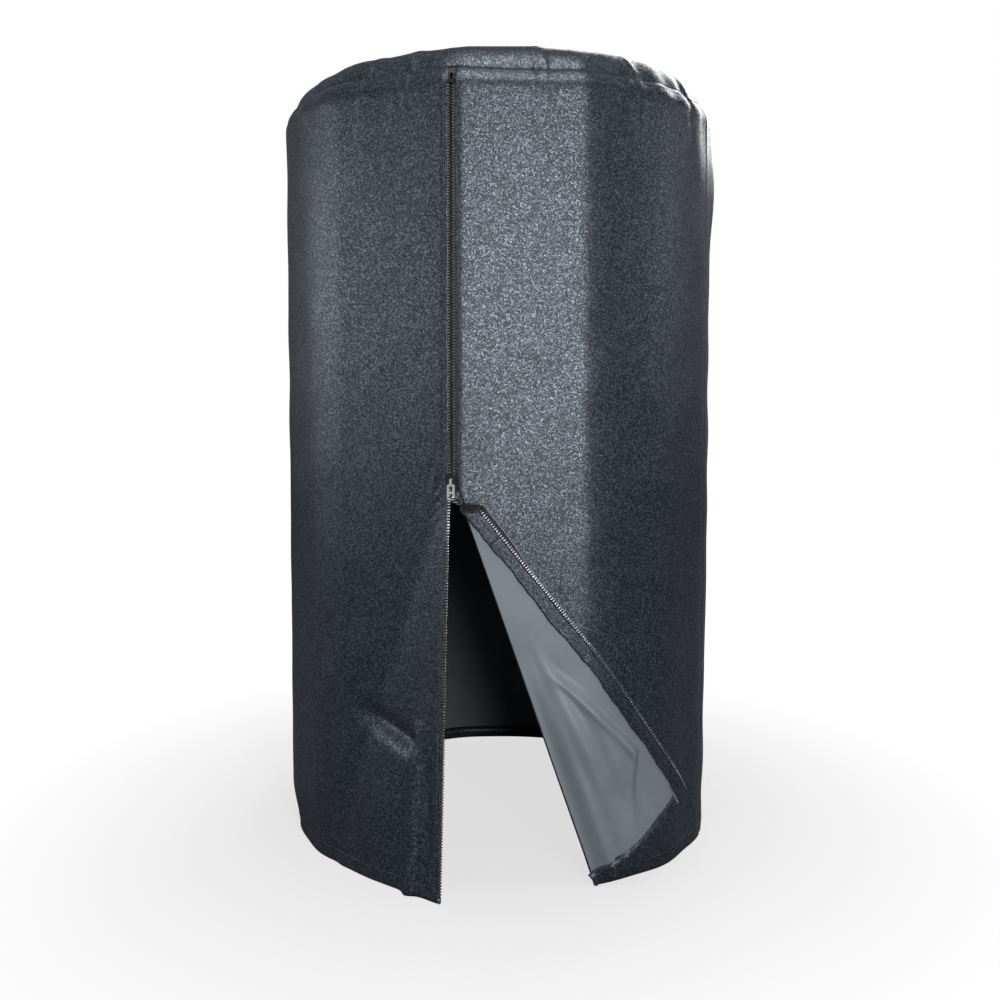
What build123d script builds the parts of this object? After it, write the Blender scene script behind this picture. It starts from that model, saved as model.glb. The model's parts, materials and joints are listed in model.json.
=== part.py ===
"""A tall zip-up cover of coated cloth for a stack of four spare tyres.

Millimetres, +Z up. The origin is the middle of the open bottom mouth and the zip runs up the
front, at -Y. The cover is a round tube of cloth with a domed top. Its front is two flats that
meet at the zip. Under the slider the zip is undone, and the cloth on each side of it is a flap
that folds outward about a slanted line, from beside the slider down to the hem.
"""
from build123d import *
from math import atan2, cos, degrees, radians, sin, tan
import os

os.makedirs("parts", exist_ok=True)

# The whole cover
cover_radius = 350.0        # outside of the cloth, round the back and sides
side_height = 1145.0        # hem up to the top seam
crown_rise = 45.0           # highest ring of the top panel, above the top seam
crown_sag = 13.0            # the middle of the top panel, below that ring
facet_azimuth = 34.0        # the flat fronts end this far round from the zip
seam_azimuth = 78.0         # the side seams, this far round from the zip

# Cloth, hems and seams
cloth = 1.0                 # coated woven cloth
hem_height = 22.0
hem_thickness = 1.4         # the turned-up layers inside the hem
hem_setback = 6.0           # the front hems start this far round from the folds
seam_width = 12.0           # seam allowance, on the inside
seam_thickness = 1.0
binding_height = 10.0       # tape round the inside of the top seam
binding_thickness = 1.5
facing_width = 18.0         # outer cloth turned in beside the zip tape

# Zip
zip_flat = 14.0             # half width of the flat strip that carries the zip
cloth_edge = 8.5            # the cloth's turned edges stop this far from the middle
tape_thickness = 0.8
tooth_tip = 0.8             # tooth tips, from the middle of the zip
tooth_root = 2.4
tooth_back = 4.2            # outer side of the bead that the teeth are clamped on
tooth_depth = 3.4
tooth_pitch = 4.0
tooth_width = 1.7
stop_height = 6.0
end_stop_tip = 1.6          # the end stops keep this far from the middle
top_margin = 20.0           # the top stop's upper end, below the top seam

# Flaps
fold_top = 555.0            # the folds start at this height
fold_lift = 2.0             # fold axis, in front of the cloth's face
fold_gap = 1.5              # cloth edge to fold axis, on each side of the fold
flap_top = 536.0            # upper edge of the loose flaps
right_opened = 176.0        # the right flap rests folded back
left_opened = 13.0          # the left flap hangs a little open

# Slider and pull tab
slider_bottom = 562.0
slider_height = 24.0
slider_wall = 1.3           # outer and inner plates
slider_corner = 1.0
channel_gap = 0.5           # round the teeth, inside the slider
shoulder_half = 7.0         # half width at the end where the two rows part
tail_half = 6.2
slot_gap = 0.6              # each side of the tape, between the flanges
post_half = 0.5             # web that joins the two plates, between the rows
post_height = 5.0
bridge_half = 1.6
bridge_strap = 1.2
bridge_room = 2.6           # under the bridge
bridge_length = 12.0
pull_width = 11.0
pull_length = 22.0
pull_thickness = 1.2
window_length = 8.5         # the opening that the bridge runs through
window_half = 2.4
pull_corner = 2.5
thumb_hole_width = 5.5      # in the pull tab's lower end
thumb_hole_length = 6.0
thumb_hole_corner = 1.2
thumb_hole_rise = 5.5       # its middle, above the tab's lower end

facet_tilt = facet_azimuth / 2
facet_width = 2 * cover_radius * sin(radians(facet_tilt))
fold_start = zip_flat
fold_angle = degrees(atan2(facet_width - fold_start, fold_top))
inside = cover_radius - cloth
chain_top = side_height - top_margin - stop_height


def save(piece, name):
    """Label a finished sub-part and write it to its own STEP file."""
    piece.part.label = name
    export_step(piece.part, f"parts/{name}.step")


def round_from_zip(radius, azimuth):
    """Plan point at a radius and an angle from the zip, which counts up towards +X."""
    return (radius * sin(radians(azimuth)), -radius * cos(radians(azimuth)))


def zip_face(radius):
    """How far forward the zip's flat strip stands, in the layer of this radius."""
    return -radius + zip_flat * tan(radians(facet_tilt))


def front_section(side, outer, inner, start):
    """Plan of one layer, from beside the zip, along the flat front, round to the side seam."""
    sweep_angle = side * (seam_azimuth - facet_azimuth)
    facet_end = side * facet_azimuth - 90
    seam_end = side * seam_azimuth - 90
    with BuildSketch() as section:
        with BuildLine():
            Polyline((side * start, zip_face(outer)), (side * zip_flat, zip_face(outer)),
                     round_from_zip(outer, side * facet_azimuth))
            CenterArc((0, 0), outer, facet_end, sweep_angle)
            Line(round_from_zip(outer, side * seam_azimuth), round_from_zip(inner, side * seam_azimuth))
            CenterArc((0, 0), inner, seam_end, -sweep_angle)
            Polyline(round_from_zip(inner, side * facet_azimuth), (side * zip_flat, zip_face(inner)),
                     (side * start, zip_face(inner)), (side * start, zip_face(outer)))
        make_face()
    return section.sketch


def arc_section(outer, inner, first, last):
    """Plan of one round layer between two azimuths."""
    with BuildSketch() as section:
        with BuildLine():
            CenterArc((0, 0), outer, first - 90, last - first)
            Line(round_from_zip(outer, last), round_from_zip(inner, last))
            CenterArc((0, 0), inner, last - 90, first - last)
            Line(round_from_zip(inner, first), round_from_zip(outer, first))
        make_face()
    return section.sketch


def whole_section(radius):
    """Plan of the whole cover in the layer of this radius: two flats, the zip strip, one arc."""
    with BuildSketch() as section:
        with BuildLine():
            Polyline(round_from_zip(radius, -facet_azimuth), (-zip_flat, zip_face(radius)),
                     (zip_flat, zip_face(radius)), round_from_zip(radius, facet_azimuth))
            CenterArc((0, 0), radius, facet_azimuth - 90, 360 - 2 * facet_azimuth)
        make_face()
    return section.sketch


def on_front(side, along, height, lift=0.0):
    """Point on a flat front: along it from the zip, up from the hem, and out from its face."""
    tilt = radians(facet_tilt)
    return Vector(side * (along * cos(tilt) + lift * sin(tilt)),
                  -cover_radius + along * sin(tilt) - lift * cos(tilt), height)


def front_plane(side):
    """Plane of a flat front: x runs out from the zip, and z faces outward."""
    away = on_front(side, 1, 0) - on_front(side, 0, 0)
    outward = on_front(side, 0, 0, 1) - on_front(side, 0, 0)
    return Plane(origin=on_front(side, 0, 0), x_dir=away, z_dir=outward)


def fold_plane(side, opened):
    """Plane of a flap turned out by an angle: x runs down the fold axis, and z faces outward."""
    top = on_front(side, fold_start, fold_top, fold_lift)
    down = (on_front(side, facet_width, 0, fold_lift) - top).normalized()
    outward = on_front(side, 0, 0, 1) - on_front(side, 0, 0)
    to_zip = down.cross(outward) * side
    turned = outward * cos(radians(opened)) - to_zip * sin(radians(opened))
    return Plane(origin=top, x_dir=down, z_dir=turned)


def fold_along(height, clear):
    """Distance from the zip to the fold line at a height, less a clearance square to the fold."""
    return fold_start + (fold_top - height) * tan(radians(fold_angle)) - clear / cos(radians(fold_angle))


def on_flap(side, along, height):
    """A point of the flat front, in the axes of the fold plane."""
    angle = radians(fold_angle)
    down = (along - fold_start) * sin(angle) + (fold_top - height) * cos(angle)
    to_zip = (fold_top - height) * sin(angle) - (along - fold_start) * cos(angle)
    return (down, -side * to_zip)


def tooth_row(first, last, phase):
    """Outline of one side's row of teeth: a straight bead with a tooth on it every pitch."""
    count = int((last - first - phase - tooth_width) / tooth_pitch) + 1
    outline = [(tooth_back, first), (tooth_root, first)]
    for tooth in range(count):
        low = first + phase + tooth * tooth_pitch
        high = low + tooth_width
        outline += [(tooth_root, low), (tooth_tip, low), (tooth_tip, high), (tooth_root, high)]
    outline += [(tooth_root, last), (tooth_back, last)]
    return [point for at, point in enumerate(outline) if at == 0 or point != outline[at - 1]]


def crown_under(layer):
    """Everything under the top panel in one layer: a stack of tapered slabs less a dished middle."""
    rising = [(1.0, 0.0), (0.97, 0.46), (0.90, 0.80), (0.80, 0.96), (0.68, 1.0)]
    dished = [(0.68, 0.0), (0.45, 0.6), (0.20, 1.0)]
    base = side_height - layer
    steps = [(Mode.ADD, [(share, base + crown_rise * rise) for share, rise in rising]),
             (Mode.SUBTRACT, [(share, base + crown_rise - crown_sag * fall) for share, fall in dished])]
    with BuildPart() as under:
        for mode, rings in steps:
            for (share, height), (next_share, next_height) in zip(rings, rings[1:]):
                lower = Plane.XY.offset(height) * whole_section((cover_radius - layer) * share)
                upper = Plane.XY.offset(next_height) * whole_section((cover_radius - layer) * next_share)
                loft([lower, upper], ruled=True, mode=mode)
    return under.part


# Top panel: a shallow dome cut to the cover's own plan, a little sunk in the middle
with BuildPart() as top_panel:
    add(crown_under(0.0))
    add(crown_under(cloth), mode=Mode.SUBTRACT)
save(top_panel, "top_panel")

# Binding tape round the inside of the top seam
with BuildPart() as top_seam_binding:
    extrude(Plane.XY.offset(side_height - binding_height) * whole_section(inside), binding_height)
    extrude(Plane.XY.offset(side_height - binding_height) * whole_section(inside - binding_thickness),
            binding_height, mode=Mode.SUBTRACT)
save(top_seam_binding, "top_seam_binding")

# Back panel: one piece of cloth from side seam to side seam
with BuildPart() as back_panel:
    extrude(arc_section(cover_radius, inside, seam_azimuth, 360 - seam_azimuth), side_height)
save(back_panel, "back_panel")

with BuildPart() as back_hem:
    extrude(arc_section(inside, inside - hem_thickness, seam_azimuth, 360 - seam_azimuth), hem_height)
save(back_hem, "back_hem")

lining_top = side_height - binding_height
strip = zip_face(cover_radius)                      # front of the zip's flat strip
tape_front = strip + cloth
teeth_front = tape_front + (tape_thickness - tooth_depth) / 2
chain_bottom = slider_bottom + post_height + 2 * tooth_pitch
tape_bottom = fold_top + 2

for side, word in ((-1, "left"), (1, "right")):
    # Front panel, from the zip round to the side seam, cut away where the flap hangs loose
    with BuildPart() as front_panel:
        extrude(front_section(side, cover_radius, inside, cloth_edge), side_height)
        with BuildSketch(front_plane(side)):
            with BuildLine():
                below = -hem_height
                corners = [(-facet_width, below), (fold_along(below, -fold_gap), below),
                           (fold_along(fold_top, -fold_gap), fold_top), (-facet_width, fold_top)]
                Polyline([(along, side * height) for along, height in corners], close=True)
            make_face()
        extrude(amount=zip_flat, both=True, mode=Mode.SUBTRACT)
    save(front_panel, f"{word}_front_panel")

    # Hem of that panel, and the seam allowance behind the side seam
    with BuildPart() as side_hem:
        ends = sorted((side * (facet_azimuth + degrees(hem_setback / cover_radius)), side * seam_azimuth))
        extrude(arc_section(inside, inside - hem_thickness, *ends), hem_height)
    save(side_hem, f"{word}_hem")

    with BuildPart() as side_seam:
        half_angle = degrees(seam_width / 2 / inside)
        ends = (side * seam_azimuth - half_angle, side * seam_azimuth + half_angle)
        extrude(Plane.XY.offset(hem_height) * arc_section(inside, inside - seam_thickness, *ends),
                lining_top - hem_height)
    save(side_seam, f"{word}_side_seam")

    # Zip tape above the slider, and its row of teeth up to the top stop
    with BuildPart() as tape_upper:
        with BuildSketch(Plane.XY.offset(tape_bottom)):
            with Locations((side * (tooth_back + zip_flat) / 2, tape_front + tape_thickness / 2)):
                Rectangle(zip_flat - tooth_back, tape_thickness)
        extrude(amount=lining_top - tape_bottom)
    save(tape_upper, f"{word}_tape_upper")

    with BuildPart() as teeth_upper:
        with BuildSketch(Plane.XZ.offset(-teeth_front)):
            with BuildLine():
                phase = tooth_pitch * (side + 1) / 4
                row = tooth_row(chain_bottom, chain_top, phase)
                Polyline([(side * across, height) for across, height in row], close=True)
            make_face()
        extrude(amount=-tooth_depth)
    save(teeth_upper, f"{word}_teeth_upper")

    # Facing: the cloth's edge turned in beside the tape
    with BuildPart() as zip_facing:
        with BuildSketch(front_plane(side).offset(-cloth - tape_thickness)):
            with BuildLine():
                first = zip_flat / cos(radians(facet_tilt)) + tape_thickness
                last = first + facing_width
                foot = [fold_top - (along - fold_start) / tan(radians(fold_angle)) + seam_width
                        for along in (first, last)]
                corners = [(first, fold_top + seam_width), (last, foot[1] + seam_width),
                           (last, lining_top), (first, lining_top)]
                Polyline([(along, side * height) for along, height in corners], close=True)
            make_face()
        extrude(amount=tape_thickness)
    save(zip_facing, f"{word}_zip_facing")

    # The loose flap: cloth, turned-in facing, zip tape, teeth, hem and the stop at the tape's end
    opened = left_opened if side < 0 else right_opened
    face = fold_plane(side, opened).offset(-fold_lift)
    tape_face = face.offset(-cloth)
    teeth_face = tape_face.offset((tooth_depth - tape_thickness) / 2)
    facing_edge = zip_flat + facing_width
    layers = {
        "flap_panel": (face, cloth, [
            (cloth_edge, 0), (fold_along(0, fold_gap), 0),
            (fold_along(flap_top, fold_gap), flap_top), (cloth_edge, flap_top)]),
        "flap_tape": (tape_face, tape_thickness, [
            (tooth_back, 0), (zip_flat, 0), (zip_flat, flap_top), (tooth_back, flap_top)]),
        "flap_facing": (tape_face, tape_thickness, [
            (zip_flat, 0), (facing_edge, 0),
            (facing_edge, fold_top - (facing_edge + seam_width - fold_start) / tan(radians(fold_angle))),
            (zip_flat, fold_top - (zip_flat + seam_width - fold_start) / tan(radians(fold_angle)))]),
        "flap_hem": (tape_face, hem_thickness, [
            (facing_edge, 0), (fold_along(0, seam_width), 0),
            (fold_along(hem_height, seam_width), hem_height), (facing_edge, hem_height)]),
        "flap_teeth": (teeth_face, tooth_depth,
                       tooth_row(stop_height, flap_top, tooth_pitch * (side + 1) / 4)),
        "flap_end_stop": (teeth_face, tooth_depth, [
            (end_stop_tip, 0), (tooth_back, 0), (tooth_back, stop_height), (end_stop_tip, stop_height)]),
    }
    for layer, (plane, thickness, outline) in layers.items():
        with BuildPart() as piece:
            with BuildSketch(plane):
                with BuildLine():
                    Polyline([on_flap(side, along, height) for along, height in outline], close=True)
                make_face()
            extrude(amount=-thickness)
        save(piece, f"{word}_{layer}")

# Top stop: clamped over both rows at the upper end of the zip
with BuildPart() as top_stop:
    with BuildSketch(Plane.XZ.offset(-teeth_front)):
        with Locations((0, chain_top + stop_height / 2)):
            Rectangle(2 * tooth_back, stop_height)
    extrude(amount=-tooth_depth)
save(top_stop, "top_stop")

# Slider body: outer and inner plates with flanges that leave a slot for each tape, and the web
# between them at the end where the two rows part
channel_half = tooth_depth / 2 + channel_gap
channel_side = tooth_back + channel_gap
teeth_middle = teeth_front + tooth_depth / 2
plate_face = teeth_middle - channel_half - slider_wall
slider_top = slider_bottom + slider_height
slot_half = tape_thickness / 2 + slot_gap
with BuildPart() as slider_body:
    with BuildSketch(Plane.XZ.offset(-teeth_middle)):
        with BuildLine():
            waist = slider_bottom + slider_height / 2
            half = [(shoulder_half, slider_bottom), (shoulder_half, waist), (tail_half, slider_top)]
            Polyline(half + [(-across, height) for across, height in reversed(half)], close=True)
        make_face()
    extrude(amount=channel_half + slider_wall, both=True)
    fillet(slider_body.edges().filter_by(Axis.Y), radius=slider_corner)
    with BuildSketch(Plane.XY.offset(slider_bottom)):
        with Locations((0, teeth_middle)):
            Rectangle(2 * channel_side, 2 * channel_half)
            Rectangle(4 * shoulder_half, 2 * slot_half)
    extrude(amount=slider_height, mode=Mode.SUBTRACT)
    with BuildSketch(Plane.XY.offset(slider_bottom + tooth_width)):
        with Locations((0, teeth_middle)):
            Rectangle(2 * post_half, 2 * channel_half)
    extrude(amount=post_height)
save(slider_body, "slider_body")

# Bridge on the slider's outer plate, which the pull tab hangs from
bridge_bottom = slider_bottom + (slider_height - bridge_length) / 2
with BuildPart() as slider_bridge:
    with BuildSketch(Plane.YZ.offset(-bridge_half)):
        with BuildLine():
            reach = bridge_room + bridge_strap
            Polyline((plate_face, bridge_bottom), (plate_face - reach, bridge_bottom + bridge_strap),
                     (plate_face - reach, bridge_bottom + bridge_length - bridge_strap),
                     (plate_face, bridge_bottom + bridge_length),
                     (plate_face, bridge_bottom + bridge_length - bridge_strap),
                     (plate_face - bridge_room, bridge_bottom + bridge_length - 2 * bridge_strap),
                     (plate_face - bridge_room, bridge_bottom + 2 * bridge_strap),
                     (plate_face, bridge_bottom + bridge_strap), close=True)
        make_face()
    extrude(amount=2 * bridge_half)
save(slider_bridge, "slider_bridge")

# Pull tab: a stamped plate that hangs with its upper bar inside the bridge
pivot_height = bridge_bottom + 2 * bridge_strap + pull_thickness
pivot_front = plate_face - bridge_room / 2
with BuildPart() as pull_tab:
    with BuildSketch(Plane.XZ.offset(-pivot_front)):
        with Locations((0, pivot_height + pull_thickness / 2 - pull_length / 2)):
            RectangleRounded(pull_width, pull_length, pull_corner)
        with Locations((0, pivot_height - pull_thickness / 2 - window_length / 2)):
            Rectangle(2 * window_half, window_length, mode=Mode.SUBTRACT)
        with Locations((0, pivot_height + pull_thickness / 2 - pull_length + thumb_hole_rise)):
            RectangleRounded(thumb_hole_width, thumb_hole_length, thumb_hole_corner, mode=Mode.SUBTRACT)
    extrude(amount=pull_thickness / 2, both=True)
save(pull_tab, "pull_tab")
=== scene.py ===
import json
from math import cos, pi, radians, sin, tan

import bmesh
import bpy
import numpy as np
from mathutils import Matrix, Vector


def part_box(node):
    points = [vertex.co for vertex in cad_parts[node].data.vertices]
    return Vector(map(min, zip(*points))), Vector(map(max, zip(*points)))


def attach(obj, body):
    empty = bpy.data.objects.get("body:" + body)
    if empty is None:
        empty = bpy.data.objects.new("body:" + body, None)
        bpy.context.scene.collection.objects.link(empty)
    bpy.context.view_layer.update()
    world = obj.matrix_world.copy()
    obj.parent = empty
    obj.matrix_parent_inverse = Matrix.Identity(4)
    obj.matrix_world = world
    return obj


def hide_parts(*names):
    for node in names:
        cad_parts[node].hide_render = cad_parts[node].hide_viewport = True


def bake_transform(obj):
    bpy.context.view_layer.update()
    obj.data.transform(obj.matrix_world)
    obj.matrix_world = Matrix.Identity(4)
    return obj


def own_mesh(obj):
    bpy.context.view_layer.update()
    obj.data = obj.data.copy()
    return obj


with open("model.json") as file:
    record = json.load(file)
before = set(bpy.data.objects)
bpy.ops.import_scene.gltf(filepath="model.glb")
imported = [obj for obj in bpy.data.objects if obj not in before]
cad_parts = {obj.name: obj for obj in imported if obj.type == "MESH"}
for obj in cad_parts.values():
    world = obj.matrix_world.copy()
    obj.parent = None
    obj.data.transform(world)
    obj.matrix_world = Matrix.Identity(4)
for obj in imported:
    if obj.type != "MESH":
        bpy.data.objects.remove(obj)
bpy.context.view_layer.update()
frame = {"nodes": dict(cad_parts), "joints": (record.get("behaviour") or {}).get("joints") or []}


# --- Studio -----------------------------------------------------------------------------------
# A plain pale floor under the hem, pale by a glow seen only by the camera, which dims near the cover as
# painted shade; a tall narrow lamp a little to the right of the zip, weaker broad ones at both sides, behind
# and above, and surroundings that read as a white backdrop.
scene = bpy.context.scene
scene.view_settings.view_transform = "Standard"

floor_half = 9.0
floor_mesh = bpy.data.meshes.new("floor")
floor_mesh.from_pydata([(-floor_half, -floor_half, -0.0005), (floor_half, -floor_half, -0.0005),
                        (floor_half, floor_half, -0.0005), (-floor_half, floor_half, -0.0005)], [],
                       [(0, 1, 2, 3)])
floor = bpy.data.objects.new("floor", floor_mesh)
scene.collection.objects.link(floor)
floor_paint = bpy.data.materials.new("floor_paint")
floor_paint.use_nodes = True
floor_shader = floor_paint.node_tree.nodes["Principled BSDF"]
floor_shader.inputs["Base Color"].default_value = (0.12, 0.12, 0.12, 1)
floor_shader.inputs["Roughness"].default_value = 0.9
floor_shader.inputs["Specular IOR Level"].default_value = 0.0
floor_shader.inputs["Emission Color"].default_value = (1, 1, 1, 1)
floor_tree = floor_paint.node_tree
floor_far = floor_tree.nodes.new("ShaderNodeVectorMath")
floor_far.operation = "LENGTH"
floor_tree.links.new(floor_tree.nodes.new("ShaderNodeTexCoord").outputs["Object"], floor_far.inputs[0])
# Painted shade: the floor's glow is weaker within a metre of the cover's middle, darkening the floor round
# its foot.
floor_painted_shade = floor_tree.nodes.new("ShaderNodeMapRange")
floor_painted_shade.inputs["From Min"].default_value = 0.30
floor_painted_shade.inputs["From Max"].default_value = 1.1
floor_painted_shade.inputs["To Min"].default_value = 0.70
floor_painted_shade.inputs["To Max"].default_value = 1.0
floor_tree.links.new(floor_far.outputs["Value"], floor_painted_shade.inputs["Value"])
floor_seen = floor_tree.nodes.new("ShaderNodeMath")
floor_seen.operation = "MULTIPLY"
floor_tree.links.new(floor_tree.nodes.new("ShaderNodeLightPath").outputs["Is Camera Ray"],
                     floor_seen.inputs[0])
floor_tree.links.new(floor_painted_shade.outputs["Result"], floor_seen.inputs[1])
floor_tree.links.new(floor_seen.outputs[0], floor_shader.inputs["Emission Strength"])
floor_mesh.materials.append(floor_paint)

surroundings = bpy.data.worlds.new("surroundings")
scene.world = surroundings
surroundings.use_nodes = True
world_tree = surroundings.node_tree
backdrop_light = world_tree.nodes["Background"]
backdrop_light.inputs["Color"].default_value = (0.92, 0.95, 1.0, 1)
backdrop_light.inputs["Strength"].default_value = 0.14
backdrop_seen = world_tree.nodes.new("ShaderNodeBackground")
backdrop_seen.inputs["Color"].default_value = (1, 1, 1, 1)
backdrop_seen.inputs["Strength"].default_value = 1.0
seen_or_lit = world_tree.nodes.new("ShaderNodeMixShader")
world_tree.links.new(world_tree.nodes.new("ShaderNodeLightPath").outputs["Is Camera Ray"],
                     seen_or_lit.inputs[0])
world_tree.links.new(backdrop_light.outputs[0], seen_or_lit.inputs[1])
world_tree.links.new(backdrop_seen.outputs[0], seen_or_lit.inputs[2])
world_tree.links.new(seen_or_lit.outputs[0], world_tree.nodes["World Output"].inputs["Surface"])

view_azimuth = radians(11.2)
view_distance = 1.83
view_height = 0.697
view_tip = radians(2.45)
camera_data = bpy.data.cameras.new("camera")
camera_data.sensor_width = 36
camera_data.lens = 39.0
camera_data.shift_y = -0.06
camera = bpy.data.objects.new("camera", camera_data)
camera.location = (view_distance * sin(view_azimuth), -view_distance * cos(view_azimuth), view_height)
camera.rotation_euler = (pi / 2 - view_tip, 0, view_azimuth)
scene.collection.objects.link(camera)
scene.camera = camera


def soft_lamp(name, azimuth, distance, height, width, tall, watts, aim_height):
    """An upright soft lamp at an azimuth from the zip, turned towards the cover's middle line."""
    data = bpy.data.lights.new(name, "AREA")
    data.shape = "RECTANGLE"
    data.size = width
    data.size_y = tall
    data.energy = watts
    lamp = bpy.data.objects.new(name, data)
    place = Vector((distance * sin(azimuth), -distance * cos(azimuth), height))
    lamp.location = place
    lamp.rotation_euler = (Vector((0, 0, aim_height)) - place).to_track_quat("-Z", "Y").to_euler()
    scene.collection.objects.link(lamp)


soft_lamp("front_lamp", radians(24), 2.3, 0.96, 0.34, 1.7, 27, 0.85)
soft_lamp("left_lamp", radians(-68), 2.3, 1.08, 2.4, 0.9, 14, 0.85)
soft_lamp("right_lamp", radians(98), 2.5, 1.30, 1.6, 1.0, 5, 0.85)
soft_lamp("back_lamp", radians(165), 2.6, 2.4, 1.6, 1.6, 60, 1.0)
soft_lamp("top_lamp", radians(15), 0.9, 2.9, 1.3, 1.0, 20, 1.1)


# --- Cover cloth and its coated back ----------------------------------------------------------
# Coarse oxford weave in slate grey, uneven in its yarn, with glints of single yarns painted into its colour
# as well as raised in its shine, and pale grey and smooth on the inside where it is coated. Both faces belong
# to every panel and flap.
def effect_group(name, inputs, outputs):
    """An empty shader group with named float, vector or colour sockets, and its two end nodes."""
    group = bpy.data.node_groups.new(name, "ShaderNodeTree")
    kinds = {"value": "NodeSocketFloat", "vector": "NodeSocketVector", "colour": "NodeSocketColor"}
    for socket, kind in inputs:
        group.interface.new_socket(socket, in_out="INPUT", socket_type=kinds[kind])
    for socket, kind in outputs:
        group.interface.new_socket(socket, in_out="OUTPUT", socket_type=kinds[kind])
    return group, group.nodes.new("NodeGroupInput"), group.nodes.new("NodeGroupOutput")


def math_node(tree, operation, first, second=None, clamp=False):
    """One Math node; each operand is a socket or a number."""
    node = tree.nodes.new("ShaderNodeMath")
    node.operation = operation
    node.use_clamp = clamp
    for slot, value in enumerate((first, second)):
        if isinstance(value, bpy.types.NodeSocket):
            tree.links.new(value, node.inputs[slot])
        elif value is not None:
            node.inputs[slot].default_value = value
    return node.outputs[0]


def noise_node(tree, vector, scale, detail=2.0, rough=0.5):
    """One Noise Texture on a vector, giving its factor."""
    node = tree.nodes.new("ShaderNodeTexNoise")
    node.inputs["Detail"].default_value = detail
    node.inputs["Roughness"].default_value = rough
    if isinstance(scale, bpy.types.NodeSocket):
        tree.links.new(scale, node.inputs["Scale"])
    else:
        node.inputs["Scale"].default_value = scale
    tree.links.new(vector, node.inputs["Vector"])
    return node.outputs["Fac"]


def stretched(tree, vector, across, along):
    """The vector with its first two parts multiplied, so that a pattern runs long one way."""
    node = tree.nodes.new("ShaderNodeMapping")
    node.inputs["Scale"].default_value = (across, along, 1)
    tree.links.new(vector, node.inputs["Vector"])
    return node.outputs["Vector"]


# Weave: two sets of rounded yarns at right angles, over and under by turns, and uneven in place
weave, weave_in, weave_out = effect_group(
    "woven_yarn", [("Vector", "vector"), ("Pitch", "value")], [("Height", "value"), ("Slub", "value")])
weave_split = weave.nodes.new("ShaderNodeSeparateXYZ")
weave.links.new(weave_in.outputs["Vector"], weave_split.inputs[0])
turns = math_node(weave, "DIVIDE", pi, weave_in.outputs["Pitch"])
warp = math_node(weave, "SINE", math_node(weave, "MULTIPLY", weave_split.outputs[0], turns))
weft = math_node(weave, "SINE", math_node(weave, "MULTIPLY", weave_split.outputs[1], turns))
over = math_node(weave, "GREATER_THAN", math_node(weave, "MULTIPLY", warp, weft), 0.0)
raised_warp = math_node(weave, "MULTIPLY", math_node(weave, "ABSOLUTE", warp), over)
raised_weft = math_node(weave, "MULTIPLY", math_node(weave, "ABSOLUTE", weft),
                        math_node(weave, "SUBTRACT", 1.0, over))
weave.links.new(math_node(weave, "ADD", raised_warp, raised_weft), weave_out.inputs["Height"])
long_slub = noise_node(weave, stretched(weave, weave_in.outputs["Vector"], 1.0, 0.22), 900.0, 1.0)
cross_slub = noise_node(weave, stretched(weave, weave_in.outputs["Vector"], 0.22, 1.0), 900.0, 1.0)
weave.links.new(math_node(weave, "MULTIPLY", math_node(weave, "ADD", long_slub, cross_slub), 0.5),
                weave_out.inputs["Slub"])

# Glint: cells of one or two yarns, each as bright or dark as it happens to catch the light
glint, glint_in, glint_out = effect_group(
    "yarn_glint", [("Vector", "vector"), ("Scale", "value")], [("Mask", "value")])
yarn_spots = glint.nodes.new("ShaderNodeTexVoronoi")
yarn_spots.feature = "F1"
glint.links.new(glint_in.outputs["Vector"], yarn_spots.inputs["Vector"])
glint.links.new(glint_in.outputs["Scale"], yarn_spots.inputs["Scale"])
spot_value = glint.nodes.new("ShaderNodeSeparateColor")
glint.links.new(yarn_spots.outputs["Color"], spot_value.inputs[0])
glint.links.new(math_node(glint, "POWER", spot_value.outputs[0], 2.6), glint_out.inputs["Mask"])

# Dust and handling: large soft patches, and a little more dust low down near the hem
dust, dust_in, dust_out = effect_group("dust", [("Vector", "vector"), ("Low", "value")], [("Mask", "value")])
dust_split = dust.nodes.new("ShaderNodeSeparateXYZ")
dust.links.new(dust_in.outputs["Vector"], dust_split.inputs[0])
low_share = math_node(dust, "DIVIDE", dust_split.outputs[2], dust_in.outputs["Low"])
low_dust = math_node(dust, "SUBTRACT", 1.0, low_share, clamp=True)
patches = noise_node(dust, dust_in.outputs["Vector"], 6.0, 4.0, 0.6)
patches = math_node(dust, "MULTIPLY", math_node(dust, "SUBTRACT", patches, 0.42), 2.2, clamp=True)
dust.links.new(math_node(dust, "ADD", math_node(dust, "MULTIPLY", patches, 0.6),
                         math_node(dust, "MULTIPLY", low_dust, 0.3), clamp=True), dust_out.inputs["Mask"])


def new_material(name, roughness, metallic=0.0, specular=0.5):
    """A material with its Principled shader set to plain values, ready for nodes."""
    material = bpy.data.materials.new(name)
    material.use_nodes = True
    shader = material.node_tree.nodes["Principled BSDF"]
    shader.inputs["Roughness"].default_value = roughness
    shader.inputs["Metallic"].default_value = metallic
    shader.inputs["Specular IOR Level"].default_value = specular
    return material, material.node_tree, shader


def placed(tree, group, **values):
    """Put a shared effect in a material with its own numbers."""
    node = tree.nodes.new("ShaderNodeGroup")
    node.node_tree = group
    for socket, value in values.items():
        if isinstance(value, bpy.types.NodeSocket):
            tree.links.new(value, node.inputs[socket])
        else:
            node.inputs[socket].default_value = value
    return node


def colour_mix(tree, mask, first, second):
    """Blend two colours by a mask; each is a socket or an RGB triple."""
    node = tree.nodes.new("ShaderNodeMix")
    node.data_type = "RGBA"
    tree.links.new(mask, node.inputs["Factor"])
    for name, value in (("A", first), ("B", second)):
        socket = [s for s in node.inputs if s.name == name and s.type == "RGBA"][0]
        if isinstance(value, bpy.types.NodeSocket):
            tree.links.new(value, socket)
        else:
            socket.default_value = (*value, 1)
    return [s for s in node.outputs if s.type == "RGBA"][0]


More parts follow.
